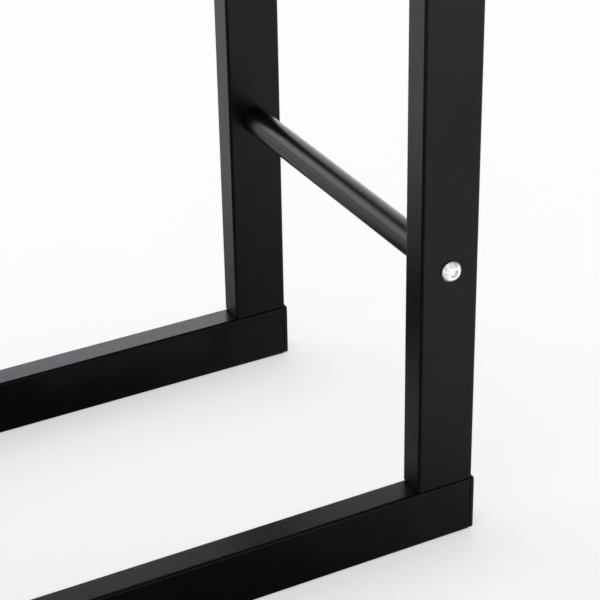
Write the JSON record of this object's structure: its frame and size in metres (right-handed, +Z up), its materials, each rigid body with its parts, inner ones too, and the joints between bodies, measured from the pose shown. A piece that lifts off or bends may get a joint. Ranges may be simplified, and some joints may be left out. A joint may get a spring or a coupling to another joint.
{
  "type": "firewood log rack",
  "caption": "Tall narrow log rack: two upright rectangular steel frames, front and rear, joined at the sides by round bars and button head bolts, with capped rails on the floor.",
  "frame": {"origin": "on the floor, under the middle of the rack's footprint", "axes": "+Z up along the uprights, +Y from the front frame to the rear frame, +X to the right along the rails"},
  "size_m": [0.404, 0.2894, 1.1647],
  "materials": {
    "powder_coated_steel": "matt black powder coat, fine texture",
    "black_plastic": "moulded black plastic, satin",
    "zinc_plated_steel": "bright zinc plate",
    "plain_steel": "plain turned and pressed steel"
  },
  "bodies": {
    "root": {"front_bottom_rail": "powder_coated_steel", "front_bottom_rail_left_cap": "black_plastic", "front_bottom_rail_right_cap": "black_plastic", "front_top_rail": "powder_coated_steel", "front_top_rail_left_cap": "black_plastic", "front_top_rail_right_cap": "black_plastic", "front_left_upright": "powder_coated_steel", "front_left_lower_nut_plate": "plain_steel", "front_left_lower_rail_bolt": "zinc_plated_steel", "front_left_upper_nut_plate": "plain_steel", "front_left_upper_rail_bolt": "zinc_plated_steel", "front_right_upright": "powder_coated_steel", "front_right_lower_nut_plate": "plain_steel", "front_right_lower_rail_bolt": "zinc_plated_steel", "front_right_upper_nut_plate": "plain_steel", "front_right_upper_rail_bolt": "zinc_plated_steel", "rear_bottom_rail": "powder_coated_steel", "rear_bottom_rail_left_cap": "black_plastic", "rear_bottom_rail_right_cap": "black_plastic", "rear_top_rail": "powder_coated_steel", "rear_top_rail_left_cap": "black_plastic", "rear_top_rail_right_cap": "black_plastic", "rear_left_upright": "powder_coated_steel", "rear_left_lower_nut_plate": "plain_steel", "rear_left_lower_rail_bolt": "zinc_plated_steel", "rear_left_upper_nut_plate": "plain_steel", "rear_left_upper_rail_bolt": "zinc_plated_steel", "rear_right_upright": "powder_coated_steel", "rear_right_lower_nut_plate": "plain_steel", "rear_right_lower_rail_bolt": "zinc_plated_steel", "rear_right_upper_nut_plate": "plain_steel", "rear_right_upper_rail_bolt": "zinc_plated_steel", "lower_left_cross_bar": "powder_coated_steel", "lower_left_cross_bar_front_plug": "plain_steel", "lower_left_cross_bar_front_bolt": "zinc_plated_steel", "lower_left_cross_bar_rear_plug": "plain_steel", "lower_left_cross_bar_rear_bolt": "zinc_plated_steel", "lower_right_cross_bar": "powder_coated_steel", "lower_right_cross_bar_front_plug": "plain_steel", "lower_right_cross_bar_front_bolt": "zinc_plated_steel", "lower_right_cross_bar_rear_plug": "plain_steel", "lower_right_cross_bar_rear_bolt": "zinc_plated_steel", "upper_left_cross_bar": "powder_coated_steel", "upper_left_cross_bar_front_plug": "plain_steel", "upper_left_cross_bar_front_bolt": "zinc_plated_steel", "upper_left_cross_bar_rear_plug": "plain_steel", "upper_left_cross_bar_rear_bolt": "zinc_plated_steel", "upper_right_cross_bar": "powder_coated_steel", "upper_right_cross_bar_front_plug": "plain_steel", "upper_right_cross_bar_front_bolt": "zinc_plated_steel", "upper_right_cross_bar_rear_plug": "plain_steel", "upper_right_cross_bar_rear_bolt": "zinc_plated_steel"}
  },
  "joints": []
}
